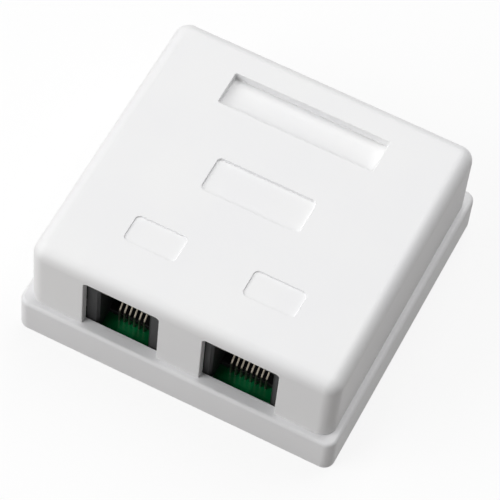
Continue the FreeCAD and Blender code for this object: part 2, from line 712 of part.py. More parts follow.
# ---- Screws ------------------------------------------------------------------------------------
def board_screw(x, y):
    """A pan-head self-tapping screw with a cross recess."""
    head_top = BOARD_TOP + SCREW_HEAD_HEIGHT
    head = rod(x, y, SCREW_HEAD_RADIUS, BOARD_TOP, head_top)
    head = head.makeChamfer(SCREW_HEAD_BEVEL, top_edges(head, head_top))
    end = BOARD_TOP - SCREW_LENGTH
    start = end + SCREW_POINT
    shank = faceted_rod(x, y, SCREW_RADIUS, start, BOARD_TOP)
    point = faceted_cone(x, y, ROD_SIDES, end, SCREW_TIP_RADIUS, start, SCREW_RADIUS)
    floor = head_top - SCREW_CROSS_DEPTH
    cross = [
        block_at(x, y, SCREW_CROSS_LENGTH, SCREW_CROSS, floor, head_top),
        block_at(x, y, SCREW_CROSS, SCREW_CROSS_LENGTH, floor, head_top),
    ]
    return head.fuse([shank, point]).cut(cross).removeSplitter()


def main():
    """Make every piece and write it to its own file."""
    pieces = {
        "base": base(),
        "cover": cover(),
        "circuit_board": circuit_board(),
        "solder_joints": solder_joints(),
    }
    for name, jack in JACKS.items():
        pieces[name + "_jack_housing"] = jack_housing(jack)
        pieces[name + "_terminal_block"] = terminal_block(jack)
        for number, x in enumerate(contact_xs(jack), start=1):
            pieces[f"{name}_contact_{number}"] = contact_strip(x)
        for number, (x, y) in enumerate(clip_places(jack), start=1):
            pieces[f"{name}_clip_{number}"] = terminal_clip(x, y)
    for number, (x, y) in enumerate(SCREW_PLACES, start=1):
        pieces[f"board_screw_{number}"] = board_screw(x, y)
    os.makedirs("parts", exist_ok=True)
    for name, shape in pieces.items():
        shape.exportStep(f"parts/{name}.step")
        print(f"{name}: {len(shape.Solids)} solid(s), {shape.Volume:.2f} mm3, valid {shape.isValid()}")


main()
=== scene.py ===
# %% [markdown]
# # A surface mount jack box
# The object is a small white wall box with two sockets in its front: a telephone socket on the left
# and a data socket on the right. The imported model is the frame: every piece below takes its place
# from it, so nothing has to be fitted by eye. All lengths reach Blender in metres.

import math

import bmesh
import bpy
import numpy as np
from mathutils import Matrix, Vector


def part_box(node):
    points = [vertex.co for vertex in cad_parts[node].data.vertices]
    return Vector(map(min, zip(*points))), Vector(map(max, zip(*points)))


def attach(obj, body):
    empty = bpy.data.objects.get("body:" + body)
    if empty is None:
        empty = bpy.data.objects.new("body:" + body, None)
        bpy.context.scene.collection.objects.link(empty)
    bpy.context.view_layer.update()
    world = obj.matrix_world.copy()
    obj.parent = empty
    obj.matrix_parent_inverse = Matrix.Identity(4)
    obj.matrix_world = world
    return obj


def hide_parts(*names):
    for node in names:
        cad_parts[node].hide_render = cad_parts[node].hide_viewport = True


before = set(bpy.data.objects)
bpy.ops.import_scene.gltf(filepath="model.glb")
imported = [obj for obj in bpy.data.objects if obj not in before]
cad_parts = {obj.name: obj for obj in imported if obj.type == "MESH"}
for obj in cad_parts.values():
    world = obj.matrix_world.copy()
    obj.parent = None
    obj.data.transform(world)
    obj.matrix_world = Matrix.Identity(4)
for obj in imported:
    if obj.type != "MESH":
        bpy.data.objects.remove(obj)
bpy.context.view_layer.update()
MM = 0.001
print("nodes in the frame:", len(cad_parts))

# %% [markdown]
# ## Colour and material helpers
# Colours are easiest to read as the hex values that a paint program shows, which are sRGB.
# Blender's shaders work in linear light, so one function turns a hex value into linear numbers.
# A material is a small graph of nodes, so a second function adds one node with its settings and
# links in a single line.


# %% Hex colours to linear light
def linear(hex_colour):
    """Each sRGB channel c becomes c/12.92 below 0.04045, and ((c+0.055)/1.055)^2.4 above."""
    channels = [int(hex_colour[i:i + 2], 16) / 255 for i in (1, 3, 5)]
    steps = [c / 12.92 if c <= 0.04045 else ((c + 0.055) / 1.055) ** 2.4 for c in channels]
    return (*steps, 1.0)


print("mid grey, #808080, is", round(linear("#808080")[0], 3), "in linear light")


# %% One helper for every shader node
def add_node(tree, kind, settings=None, inputs=None, links=None):
    """Adds one node: settings are its own properties, inputs are plain values and links are sockets."""
    node = tree.nodes.new(kind)
    for name, value in (settings or {}).items():
        setattr(node, name, value)
    for name, value in (inputs or {}).items():
        node.inputs[name].default_value = value
    for name, socket in (links or {}).items():
        tree.links.new(socket, node.inputs[name])
    return node


def new_material(name):
    """An empty node material and its tree."""
    material = bpy.data.materials.new(name)
    material.use_nodes = True
    material.node_tree.nodes.clear()
    return material, material.node_tree


def finished(material, shader):
    """Joins a shader's socket to an output, which completes the material."""
    add_node(material.node_tree, "ShaderNodeOutputMaterial", links={"Surface": shader})
    return material


def set_ramp(node, stops):
    """Gives a colour ramp its two stops, each a place from 0 to 1 and a colour."""
    for element, (place, colour) in zip(node.color_ramp.elements, stops):
        element.position = place
        element.color = colour


def per_mm(size_mm):
    """A texture's scale for a feature this many millimetres across, on coordinates in metres."""
    return 1 / (size_mm * MM)


# %% [markdown]
# ## White ABS for the case
# The cover and base are injection-moulded ABS in a steel tool with a fine satin surface. It is an
# opaque white with a soft, broad highlight. The tool's satin grain is a few tenths of a millimetre,
# so it shows only as a slight unevenness in the highlight: a fine noise drives a very low bump. Big,
# faint flow marks move the roughness a little, as the melt cools unevenly across the face.


# %% White ABS
def white_abs(name, colour, shade):
    """Satin white ABS: broad gloss, fine moulded grain and faint flow marks in colour and roughness."""
    material, tree = new_material(name)
    place = add_node(tree, "ShaderNodeTexCoord").outputs["Object"]
    flow = add_node(
        tree, "ShaderNodeTexNoise",
        inputs={"Scale": per_mm(18.0), "Detail": 2.0, "Roughness": 0.5}, links={"Vector": place},
    )
    tone = add_node(tree, "ShaderNodeValToRGB", links={"Fac": flow.outputs["Fac"]})
    set_ramp(tone, [(0.3, linear(shade)), (0.7, linear(colour))])
    gloss = add_node(
        tree, "ShaderNodeMapRange",
        inputs={"To Min": 0.42, "To Max": 0.52}, links={"Value": flow.outputs["Fac"]},
    )
    grain = add_node(
        tree, "ShaderNodeTexNoise",
        inputs={"Scale": per_mm(0.35), "Detail": 3.0, "Roughness": 0.6}, links={"Vector": place},
    )
    bump = add_node(
        tree, "ShaderNodeBump",
        inputs={"Strength": 0.12, "Distance": 0.02 * MM}, links={"Height": grain.outputs["Fac"]},
    )
    shader = add_node(
        tree, "ShaderNodeBsdfPrincipled",
        inputs={"IOR": 1.53, "Specular IOR Level": 0.4},
        links={
            "Base Color": tone.outputs["Color"], "Roughness": gloss.outputs["Result"],
            "Normal": bump.outputs["Normal"],
        },
    )
    return finished(material, shader.outputs["BSDF"])


cover_abs = white_abs("white_abs_cover", "#eeeeee", "#ebebec")
base_abs = white_abs("white_abs_base", "#ededee", "#eaeaeb")
print("case plastics:", cover_abs.name, base_abs.name)

# %% [markdown]
# ## Dark PBT for the jacks, ivory PBT for the terminal blocks
# Modular jacks are moulded in glass-filled PBT, a stiff, slightly dull plastic. The glass fibres
# give it a speckle finer than a tenth of a millimetre, drawn here as coarse as it needs to show.


# %% Glass-filled PBT
def filled_pbt(name, colour, fleck, roughness):
    """Glass-filled PBT: a dull moulded plastic with a fine pale speckle from its fibres."""
    material, tree = new_material(name)
    place = add_node(tree, "ShaderNodeTexCoord").outputs["Object"]
    speckle = add_node(
        tree, "ShaderNodeTexNoise",
        inputs={"Scale": per_mm(0.25), "Detail": 4.0, "Roughness": 0.7}, links={"Vector": place},
    )
    tone = add_node(tree, "ShaderNodeValToRGB", links={"Fac": speckle.outputs["Fac"]})
    set_ramp(tone, [(0.45, linear(colour)), (0.75, linear(fleck))])
    bump = add_node(
        tree, "ShaderNodeBump",
        inputs={"Strength": 0.2, "Distance": 0.02 * MM}, links={"Height": speckle.outputs["Fac"]},
    )
    shader = add_node(
        tree, "ShaderNodeBsdfPrincipled",
        inputs={"IOR": 1.55, "Roughness": roughness, "Specular IOR Level": 0.3},
        links={"Base Color": tone.outputs["Color"], "Normal": bump.outputs["Normal"]},
    )
    return finished(material, shader.outputs["BSDF"])


jack_pbt = filled_pbt("dark_grey_pbt", "#1b1b1c", "#232324", 0.5)
block_pbt = filled_pbt("ivory_pbt", "#d8d3c6", "#e2ded3", 0.45)
print("inner plastics:", jack_pbt.name, block_pbt.name)

# %% [markdown]
# ## The metals
# The spring contacts are phosphor bronze wire with a flash of gold over nickel, drawn through a die
# that leaves fine lines along the wire. Their dull grey is far darker than gold-flashed metal: that
# much is painted shade, which stands for the shade inside the ports. The punch-down clips are
# tinned strip, the screws are nickel-plated and the solder has frozen with a slightly wavy skin. A
# metal keeps the default IOR: its colour, its roughness and the direction of its grain are what
# tell one from another.


# %% Plated and soldered metals
def plated_metal(name, colour, stain, roughness, grain_mm, stretch):
    """A plated metal: grain of one size, stretched along X, Y or Z as the part was drawn or rolled."""
    material, tree = new_material(name)
    place = add_node(tree, "ShaderNodeTexCoord").outputs["Object"]
    along = add_node(
        tree, "ShaderNodeMapping", inputs={"Scale": stretch}, links={"Vector": place}
    )
    grain = add_node(
        tree, "ShaderNodeTexNoise",
        inputs={"Scale": per_mm(grain_mm), "Detail": 3.0, "Roughness": 0.55},
        links={"Vector": along.outputs["Vector"]},
    )
    tone = add_node(tree, "ShaderNodeValToRGB", links={"Fac": grain.outputs["Fac"]})
    set_ramp(tone, [(0.35, linear(stain)), (0.65, linear(colour))])
    gloss = add_node(
        tree, "ShaderNodeMapRange",
        inputs={"To Min": roughness * 0.8, "To Max": roughness * 1.3},
        links={"Value": grain.outputs["Fac"]},
    )
    bump = add_node(
        tree, "ShaderNodeBump",
        inputs={"Strength": 0.15, "Distance": 0.01 * MM}, links={"Height": grain.outputs["Fac"]},
    )
    shader = add_node(
        tree, "ShaderNodeBsdfPrincipled", inputs={"Metallic": 1.0},
        links={
            "Base Color": tone.outputs["Color"], "Roughness": gloss.outputs["Result"],
            "Normal": bump.outputs["Normal"],
        },
    )
    return finished(material, shader.outputs["BSDF"])


# The contact wire's dull dark grey is painted shade: it is far darker than gold, for the shade inside the
# ports.
gold_flash_painted_shade = plated_metal("gold_flashed_wire_painted_shade", "#958e82", "#6e675c", 0.3, 0.3, (4.0, 0.5, 0.5))
tinned_strip = plated_metal("tinned_bronze_strip", "#d5d5d2", "#b9b9b6", 0.3, 0.4, (1.0, 1.0, 0.2))
nickel_plate = plated_metal("nickel_plated_steel", "#cfcdc8", "#b3b0aa", 0.28, 0.5, (1.0, 1.0, 1.0))
solder_skin = plated_metal("bright_solder", "#d9dadb", "#a9abad", 0.25, 0.6, (1.0, 1.0, 1.0))
print("metals:", gold_flash_painted_shade.name, tinned_strip.name, nickel_plate.name, solder_skin.name)

# %% [markdown]
# ## Solder mask over copper for the board
# The board is glass-epoxy laminate under a glossy green solder mask. Copper runs under the mask
# show as slightly lighter, slightly raised green stripes between the jack and the terminals, and
# the lighter stripes are also a painted reflection: they paint the streaks that the contacts
# reflect in the glossy mask. The mask is darker where there is no copper. A wave texture draws the
# stripes, and one period of it is a twentieth of its scale, so the scale is worked out from the
# spacing of the stripes.


# %% Green solder mask
STRIPE_SPACING_MM = 1.27
WAVE_PERIODS = 20


def solder_mask(name, bare, copper_and_reflection):
    """Glossy green mask with lighter stripes along Y from a wave, wobbled by a slow noise. Copper runs
    under the mask make the stripes, and they also paint the contacts' reflection.
    """
    material, tree = new_material(name)
    place = add_node(tree, "ShaderNodeTexCoord").outputs["Object"]
    wave = add_node(
        tree, "ShaderNodeTexWave",
        settings={"wave_type": "BANDS", "bands_direction": "X", "wave_profile": "SIN"},
        inputs={
            "Scale": per_mm(STRIPE_SPACING_MM) / WAVE_PERIODS,
            "Distortion": 1.5, "Detail": 1.0, "Detail Scale": 0.15,
        },
        links={"Vector": place},
    )
    tone = add_node(tree, "ShaderNodeValToRGB", links={"Fac": wave.outputs["Fac"]})
    set_ramp(tone, [(0.55, linear(bare)), (0.72, linear(copper_and_reflection))])
    bump = add_node(
        tree, "ShaderNodeBump",
        inputs={"Strength": 0.3, "Distance": 0.03 * MM}, links={"Height": tone.outputs["Color"]},
    )
    shader = add_node(
        tree, "ShaderNodeBsdfPrincipled", inputs={"IOR": 1.5, "Roughness": 0.18},
        links={"Base Color": tone.outputs["Color"], "Normal": bump.outputs["Normal"]},
    )
    return finished(material, shader.outputs["BSDF"])


# The lighter stripe colour is copper under the mask and also a painted reflection of the contacts.
board_mask = solder_mask("green_solder_mask", "#036234", "#087a44")
print("board:", board_mask.name)

# %% [markdown]
# ## Shapes: an outline carried up a profile
# Moulded pieces are thought of the way a toolmaker does: an outline, such as a rectangle with
# rounded corners, is carried up a profile that says how far it grows or shrinks at each height. A
# wall, a rolled edge, a small edge radius and a draft angle are all just points of that profile. It
# is worked out as one array of rings, which keeps every curve smooth and every radius a true one.


# %% Outlines
def circle(radius, x=0.0, y=0.0, sides=32):
    """(x, y) + radius * (cos t, sin t), with t running once round."""
    t = np.arange(sides) * 2 * np.pi / sides
    return np.stack([x + radius * np.cos(t), y + radius * np.sin(t)], axis=1)


def rounded_rectangle(low, high, corner, steps=8):
    """Four quarter circles, each about its corner's own centre, with t running once round."""
    low, high = np.asarray(low, float), np.asarray(high, float)
    centre, half = (low + high) / 2, (high - low) / 2 - corner
    t = np.linspace(0, np.pi / 2, steps + 1) + np.arange(4)[:, None] * np.pi / 2
    side = np.array([(1, 1), (-1, 1), (-1, -1), (1, -1)])[:, None, :]
    return (centre + side * half + corner * np.stack([np.cos(t), np.sin(t)], axis=-1)).reshape(-1, 2)


def softened(points, radius, closed=True, steps=4):
    """A polygon or open path whose corners become arcs.

    An arc of radius r at a corner that turns by a starts r * tan(a / 2) before the corner. Its
    points are the start, turned about the arc's centre by 0 to a in equal steps.
    """
    points = np.asarray(points, float)
    if closed:
        before, bend, after = np.roll(points, 1, axis=0), points, np.roll(points, -1, axis=0)
    else:
        before, bend, after = points[:-2], points[1:-1], points[2:]
    into, out = bend - before, after - bend
    into /= np.linalg.norm(into, axis=1, keepdims=True)
    out /= np.linalg.norm(out, axis=1, keepdims=True)
    turn = np.arctan2(into[:, 0] * out[:, 1] - into[:, 1] * out[:, 0], (into * out).sum(axis=1))
    radius = np.broadcast_to(np.asarray(radius, float), turn.shape)
    left = np.stack([-into[:, 1], into[:, 0]], axis=1) * np.sign(turn)[:, None]
    start = bend - into * (radius * np.tan(np.abs(turn) / 2))[:, None]
    centre = start + left * radius[:, None]
    angle = turn[:, None] * np.linspace(0, 1, steps + 1)
    arm = (start - centre)[:, None, :]
    turned = np.stack(
        [
            arm[..., 0] * np.cos(angle) - arm[..., 1] * np.sin(angle),
            arm[..., 0] * np.sin(angle) + arm[..., 1] * np.cos(angle),
        ],
        axis=-1,
    )
    arcs = (centre[:, None, :] + turned).reshape(-1, 2)
    return arcs if closed else np.concatenate([points[:1], arcs, points[-1:]])


def ribbon(path, thickness):
    """The outline of a bent strip: half a thickness to the right of an open path, and back on the left."""
    along = np.gradient(path, axis=0)
    along /= np.linalg.norm(along, axis=1, keepdims=True)
    right = np.stack([along[:, 1], -along[:, 0]], axis=1) * thickness / 2
    return np.concatenate([path + right, (path - right)[::-1]])


# %% Profiles
PAST = 1.0  # how far a cutter runs past the face that it cuts
SMALL_EDGE = 0.12  # the radius of an edge that has no size of its own


def arc(out, up, radius, start, end, steps=4):
    """Points of a profile on a circle about (out, up), from one angle to another in degrees."""
    t = np.radians(np.linspace(start, end, steps + 1))
    return np.stack([out + radius * np.cos(t), up + radius * np.sin(t)], axis=1)


def straight(*points):
    """Points of a profile, each how far out and how far up."""
    return np.array(points, float)


def block_profile(low, high, edge):
    """A block's profile with both of its rims rounded by the same small radius."""
    return np.concatenate(
        [arc(-edge, low + edge, edge, -90, 0, 3), arc(-edge, high - edge, edge, 0, 90, 3)]
    )


def pocket_profile(floor, mouth, foot, lip):
    """A cutter's profile: the floor meets the wall in a fillet, and the mouth flares to round the rim."""
    return np.concatenate(
        [
            arc(-foot, floor + foot, foot, -90, 0, 3), arc(lip, mouth - lip, lip, 180, 90, 4),
            straight((lip, mouth + PAST)),
        ]
    )


# %% From an outline and a profile to a mesh
def miters(outline):
    """How far each point moves, and which way, when the outline grows by one.

    That is along the sum m of the normals of the point's two edges, to a length of 2 / |m|, which
    keeps both edges parallel to where they were.
    """
    edge = np.roll(outline, -1, axis=0) - outline
    normal = np.stack([edge[:, 1], -edge[:, 0]], axis=1) / np.linalg.norm(edge, axis=1, keepdims=True)
    total = normal + np.roll(normal, 1, axis=0)
    return 2 * total / (total ** 2).sum(axis=1, keepdims=True)


def placed(name, data):
    """A new object for a mesh, a lamp or a camera, linked to the scene."""
    made = bpy.data.objects.new(name, data)
    bpy.context.scene.collection.objects.link(made)
    return made


def solid(name, points, faces):
    """A mesh object from an array of points and its faces, each an array of point numbers."""
    mesh = bpy.data.meshes.new(name)
    mesh.from_pydata(points.tolist(), [], [face.tolist() for face in faces])
    return placed(name, mesh)


def ring_faces(count, around):
    """Quads between rings of points, (ring, step) to (ring + 1, step + 1), and a cap at each end."""
    ring, step = np.meshgrid(np.arange(count - 1), np.arange(around), indexing="ij")
    here, ahead = ring * around + step, ring * around + (step + 1) % around
    quads = np.stack([here, ahead, ahead + around, here + around], axis=-1).reshape(-1, 4)
    ends = [np.arange(around)[::-1], np.arange(around) + (count - 1) * around]
    return list(quads) + ends


def carried(name, outline, profile, facing="up"):
    """Ring k is the outline grown by profile[k][0] and lifted to profile[k][1].

    Facing up, the lift is along +Z. Facing front, the outline lies in x and z and the lift is
    along -Y, out of the port face. Facing side, it lies in y and z and the lift is along +X.
    """
    grow, lift = np.asarray(profile, float).T
    rings = outline + grow[:, None, None] * miters(outline)
    height = np.broadcast_to(lift[:, None, None], rings.shape[:2] + (1,))
    points = np.concatenate([rings, height], axis=2).reshape(-1, 3)
    if facing == "front":
        points = points[:, [0, 2, 1]] * (1, -1, 1)
    elif facing == "side":
        points = points[:, [2, 0, 1]]
    return solid(name, points, ring_faces(*rings.shape[:2]))


def block(name, low, high, edge=SMALL_EDGE, corner=0.2):
    """An upright block between two corners, with every edge rounded."""
    outline = rounded_rectangle(low[:2], high[:2], corner, 3)
    return carried(name, outline, block_profile(low[2], high[2], edge))


# %% Joining and cutting
def worked(body, steps):
    """Applies exact unions and differences in order, then removes the tools that did the work.

    steps holds pairs of a word, UNION or DIFFERENCE, and the object to add or to take away.
    """
    for operation, tool in steps:
        step = body.modifiers.new(tool.name, "BOOLEAN")
        step.operation = operation
        step.solver = "EXACT"
        step.object = tool
    graph = bpy.context.evaluated_depsgraph_get()
    mesh = bpy.data.meshes.new_from_object(body.evaluated_get(graph))
    body.modifiers.clear()
    body.data = mesh
    for tool in {tool for operation, tool in steps}:
        bpy.data.objects.remove(tool)
    return body


def one_mesh(name, parts):
    """Several objects that stay separate solids, as one object."""
    whole = bmesh.new()
    for part in parts:
        whole.from_mesh(part.data)
        bpy.data.objects.remove(part)
    mesh = bpy.data.meshes.new(name)
    whole.to_mesh(mesh)
    whole.free()
    return placed(name, mesh)


SHARP_TURN = 35.0


def shown(piece, material, slot, *nodes):
    """Scales a piece from millimetres, smooths it, and lets it stand for its CAD nodes."""
    mesh = piece.data
    mesh.transform(Matrix.Scale(MM, 4))
    mesh.polygons.foreach_set("use_smooth", np.ones(len(mesh.polygons), bool))
    mesh.set_sharp_from_angle(angle=math.radians(SHARP_TURN))
    weighted = piece.modifiers.new("even_shading", "WEIGHTED_NORMAL")
    weighted.keep_sharp = True
    mesh.materials.clear()
    mesh.materials.append(material)
    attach(piece, "cover" if nodes[0] == "cover" else "base")
    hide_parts(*nodes)
    print(piece.name, len(mesh.polygons), "faces")
    return piece


def corners(node):
    """The lowest and highest corner of a CAD node in millimetres, as two arrays."""
    return [np.array(corner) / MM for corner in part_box(node)]


# %% [markdown]
# ## The cover
# The cover is one moulding: a square cap with a rolled top edge, about one and a half millimetres
# thick. Its label recess is as deep as the top is thick, so the mould adds a pad under it. Two
# ports are cut out of the front wall, four ribs under the top press on the jacks, and a web at the
# rear is thin enough to knock out for a cable. A cube with a bevel would give the outside but not
# the wall behind it, so the skin and the hollow are each carried up a profile of their own, and
# exact booleans then cut as the mould does. Every sharp edge of a moulding has a radius of a few
# tenths, and it is what catches the light, so the cutters flare at the mouth to leave one.

# %% Sizes of the cover
COVER_WALL = 1.5
COVER_TOP = 1.6
COVER_CORNER = 2.9
COVER_EDGE = 2.7
INNER_EDGE = 1.0
EDGE = 0.2
RECESS_EDGE, RECESS_FOOT = 0.16, 0.1
SINK = 0.4  # how far a shape that is added reaches into the one that carries it
PORT_GAP = 0.025
PORT_HEADROOM = 0.15
PORT_CORNER = 0.8
LABEL = {"length": 31.9, "width": 7.45, "depth": 1.6, "corner": 0.35}
RATING = {"length": 20.1, "width": 7.8, "depth": 0.45, "corner": 1.0, "slope": 0.18}
ICON = {"length": 10.45, "width": 5.9, "depth": 0.3, "corner": 1.0, "slope": 0.18}
LABEL_INSET, RATING_Y, ICON_INSET = 7.1, 0.57, 10.2
PAD_THICKNESS = 1.6
RIB = {"length": 1.0, "width": 8.0, "spacing": 8.0}
KNOCKOUT = {"length": 12.0, "height": 6.5, "web": 0.5}
TAB = {"y": 12.0, "width": 8.0, "thickness": 1.4, "height": 7.6, "nose": 0.9, "nose_height": 2.3}
CATCH = {"depth": 0.6, "margin": 0.6, "edge": 0.1}

cover_low, cover_high = corners("cover")
rim, top = cover_low[2], cover_high[2]
ceiling = top - COVER_TOP
case = cover_high[:2] - COVER_WALL
case_corner = COVER_CORNER - COVER_WALL
jacks = {name: corners(name + "_jack_housing") for name in ("voice", "data")}
jack_x = {name: (low[0] + high[0]) / 2 for name, (low, high) in jacks.items()}
jack_top = jacks["data"][1][2]
tab_places = [(side, y) for side in (-1, 1) for y in (-TAB["y"], TAB["y"])]
label_centre = np.array((0, cover_high[1] - LABEL_INSET - LABEL["width"] / 2))
icon_y = cover_low[1] + ICON_INSET + ICON["width"] / 2
print("cover, mm:", np.round(cover_high - cover_low, 2))


# %% Cover
def recess(name, centre, length, width, depth, corner, slope=0.0):
    """A pocket in the top.

    With a slope s its side is a smooth ramp, which grows by s * t and rises by t^2 * (3 - 2 t).
    """
    centre, half = np.array(centre), np.array((length, width)) / 2
    outline = rounded_rectangle(centre - half, centre + half, corner)
    if not slope:
        return carried(name, outline, pocket_profile(top - depth, top, RECESS_FOOT, RECESS_EDGE))
    t = np.linspace(0, 1, 9)
    ramp = np.stack([slope * (t - 0.5), top + depth * (t * t * (3 - 2 * t) - 1)], axis=1)
    return carried(name, outline, np.concatenate([ramp, straight((slope / 2, top + PAST))]))


def port(name, x):
    """The cut-out for one jack, flared at the wall's outer face."""
    half = (jacks[name][1][0] - jacks[name][0][0]) / 2 + PORT_GAP
    low, high = (x - half, rim - 2 * PAST), (x + half, jack_top + PORT_HEADROOM)
    outline = rounded_rectangle(low, high, PORT_CORNER)
    face = -cover_low[1]
    flare = arc(EDGE, face - EDGE, EDGE, 180, 90)
    back = straight((0, face - COVER_WALL - SINK))
    return carried("port", outline, np.concatenate([back, flare, straight((EDGE, face + PAST))]), "front")


def press_rib(x, side):
    """A rib under the top that holds a jack down on the board."""
    middle = np.array((x + side * RIB["spacing"] / 2, (jacks["data"][0][1] + jacks["data"][1][1]) / 2))
    half = np.array((RIB["length"], RIB["width"])) / 2
    return block("rib", (*(middle - half), jack_top + PORT_HEADROOM), (*(middle + half), ceiling + SINK))


def catch(side, y):
    """The pocket in a side wall that a snap tab's nose springs into."""
    across = sorted((side * (case[0] - SINK), side * (case[0] + CATCH["depth"])))
    half = TAB["width"] / 2 + CATCH["margin"]
    high = rim + TAB["height"]
    low = high - TAB["nose_height"] - CATCH["margin"] / 2
    return block("catch", (across[0], y - half, low), (across[1], y + half, high), CATCH["edge"])


def cover_moulding():
    """The rolled outer skin, hollowed, then the pad and ribs added and the recesses and ports cut."""
    skin = np.concatenate(
        [
            arc(-EDGE, rim + EDGE, EDGE, -90, 0),
            arc(-COVER_EDGE, top - COVER_EDGE, COVER_EDGE, 0, 90, steps=18),
        ]
    )
    inside = np.concatenate(
        [
            straight((EDGE, rim - PAST)), arc(EDGE, rim + EDGE, EDGE, 270, 180),
            arc(-INNER_EDGE, ceiling - INNER_EDGE, INNER_EDGE, 0, 90, steps=6),
        ]
    )
    outline = rounded_rectangle(cover_low[:2], cover_high[:2], COVER_CORNER, steps=14)
    outer = carried("cover_skin", outline, skin)
    hollow = carried("hollow", rounded_rectangle(-case, case, case_corner), inside)
    half = np.array((LABEL["length"], LABEL["width"])) / 2 + COVER_WALL
    under = top - LABEL["depth"] - PAD_THICKNESS
    pad = block("pad", (*(label_centre - half), under), (*(label_centre + half), ceiling + SINK))
    web = cover_high[1] - KNOCKOUT["web"]
    knockout = block(
        "knockout", (-KNOCKOUT["length"] / 2, case[1] - SINK, rim - PAST),
        (KNOCKOUT["length"] / 2, web, rim + KNOCKOUT["height"]),
    )
    label, rating = recess("label", label_centre, **LABEL), recess("rating", (0, RATING_Y), **RATING)
    icons = [recess("icon", (x, icon_y), **ICON) for x in jack_x.values()]
    ports = [port(name, x) for name, x in jack_x.items()]
    catches = [catch(side, y) for side, y in tab_places]
    cuts = [label, rating, *icons, *ports, knockout, *catches]
    added = [pad] + [press_rib(x, side) for x in jack_x.values() for side in (-1, 1)]
    steps = [("DIFFERENCE", hollow)] + [("UNION", tool) for tool in added]
    return worked(outer, steps + [("DIFFERENCE", tool) for tool in cuts])


shown(cover_moulding(), cover_abs, "cover_plastic", "cover")

# %% [markdown]
# ## The base
# The base is a shallow tray. A shelf is left round the cover, with a rounded outer rim that draws a
# bright line round the whole box. Inside are the bosses for the board, two snap tabs each side,
# corner lips that centre the cover, two wall fixings, the cable entry and a bridge for a cable tie.
# It is made as the cover is. What stands in the tray is added first and the holes are cut last, so
# that a hole runs through everything that stands over it.

# %% Sizes of the base
BASE_CORNER = 2.1
BASE_FLOOR = 2.0
RIM_EDGE = 0.8
FOOT_EDGE = 0.3
TRAY_FOOT, TRAY_LIP = 0.4, 0.15
BOSS_RADIUS, BOSS_HOLE, BOSS_HOLE_FLOOR, BOSS_FOOT = 2.6, 1.15, 0.9, 0.05
POST_RADIUS, PIN_RADIUS = 2.2, 0.9
PIN_INSET = 2.1, 3.6
FIXING = {"spacing": 42.0, "y": 17.0, "radius": 2.0, "collar_radius": 4.2, "collar": 1.0}
ENTRY = {"y": 20.0, "length": 16.0, "width": 10.0, "corner": 2.5}
TIE = {"y": 11.0, "length": 6.0, "width": 4.0, "height": 3.0, "edge": 0.3, "corner": 0.5}
TIE_SLOT = {"width": 2.6, "height": 1.6, "edge": 0.1}
NOSE_CLEAR, NOSE_FLAT, TAB_EDGE = 0.1, 0.4, 0.14
LIP = {"thickness": 1.2, "length": 5.0, "height": 2.6, "gap": 0.15, "edge": 0.15, "inside": 0.3}

base_low, base_high = corners("base")
board_low, board_high = corners("circuit_board")
board_under, board_top = board_low[2], board_high[2]
floor_in = BASE_FLOOR - SINK
screw_names = [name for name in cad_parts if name.startswith("board_screw")]
screw_places = {name: (corners(name)[0] + corners(name)[1])[:2] / 2 for name in screw_names}
pins = [(side * (board_high[0] - PIN_INSET[0]), board_low[1] + PIN_INSET[1]) for side in (-1, 1)]
print("base, mm:", np.round(base_high - base_low, 2), "screws:", len(screw_places))


# %% Base
def post(name, place, radius, low, high, edge=SMALL_EDGE):
    """A round post with rounded rims."""
    return carried(name, circle(radius, *place), block_profile(low, high, edge))


def boss_hole(place):
    """The blind hole of a boss, slightly rounded at its foot and mouth."""
    profile = pocket_profile(BOSS_HOLE_FLOOR, board_under, BOSS_FOOT, SMALL_EDGE)
    return carried("boss_hole", circle(BOSS_HOLE, *place), profile)


def through(name, outline, high):
    """A hole right through the floor up to a height, rounded at both mouths."""
    mouths = [arc(EDGE, EDGE, EDGE, 270, 180, 3), arc(EDGE, high - EDGE, EDGE, 180, 90, 3)]
    profile = np.concatenate([straight((EDGE, -PAST)), *mouths, straight((EDGE, high + PAST))])
    return carried(name, outline, profile)


def snap_tab(side, y):
    """An upstanding tab: its side view, with a wedge-shaped nose, carried along Y."""
    nose = case[0] - NOSE_CLEAR
    face = nose - TAB["nose"]
    back, high = face - TAB["thickness"], rim + TAB["height"]
    ledge = high - TAB["nose_height"]
    outline = np.array(
        [
            (back, floor_in), (face, floor_in), (face, ledge), (nose, ledge),
            (nose, ledge + NOSE_FLAT), (face, high), (back, high),
        ]
    )
    if side < 0:
        outline = outline[::-1] * (-1, 1)
    half = TAB["width"] / 2
    across = block_profile(-y - half, -y + half, SMALL_EDGE)
    return carried("tab", softened(outline, TAB_EDGE, steps=3), across, "front")


def corner_lip(side_x, side_y, gap, thickness, length, low, high):
    """An L-shaped lip in a corner of the case, a small gap inside the case's wall."""
    outer, start = case - gap, case - length
    inner = outer - thickness
    points = np.array(
        [
            (start[0], inner[1]), inner, (inner[0], start[1]), (outer[0], start[1]),
            outer, (start[0], outer[1]),
        ]
    )
    small = LIP["edge"]
    outline = softened(points, [small, LIP["inside"], small, small, case_corner - gap, small])
    outline = outline * (side_x, side_y)
    if side_x * side_y < 0:
        outline = outline[::-1]
    return carried("lip", outline, block_profile(low, high, SMALL_EDGE))


def two_part_lip(side_x, side_y):
    """The lip above the rim, and a root below it that sinks into the tray's wall."""
    gap, thickness, length = LIP["gap"], LIP["thickness"], LIP["length"]
    return [
        corner_lip(side_x, side_y, gap, thickness, length, floor_in, rim + LIP["height"]),
        corner_lip(side_x, side_y, -EDGE, thickness, length - gap, floor_in, rim - gap),
    ]


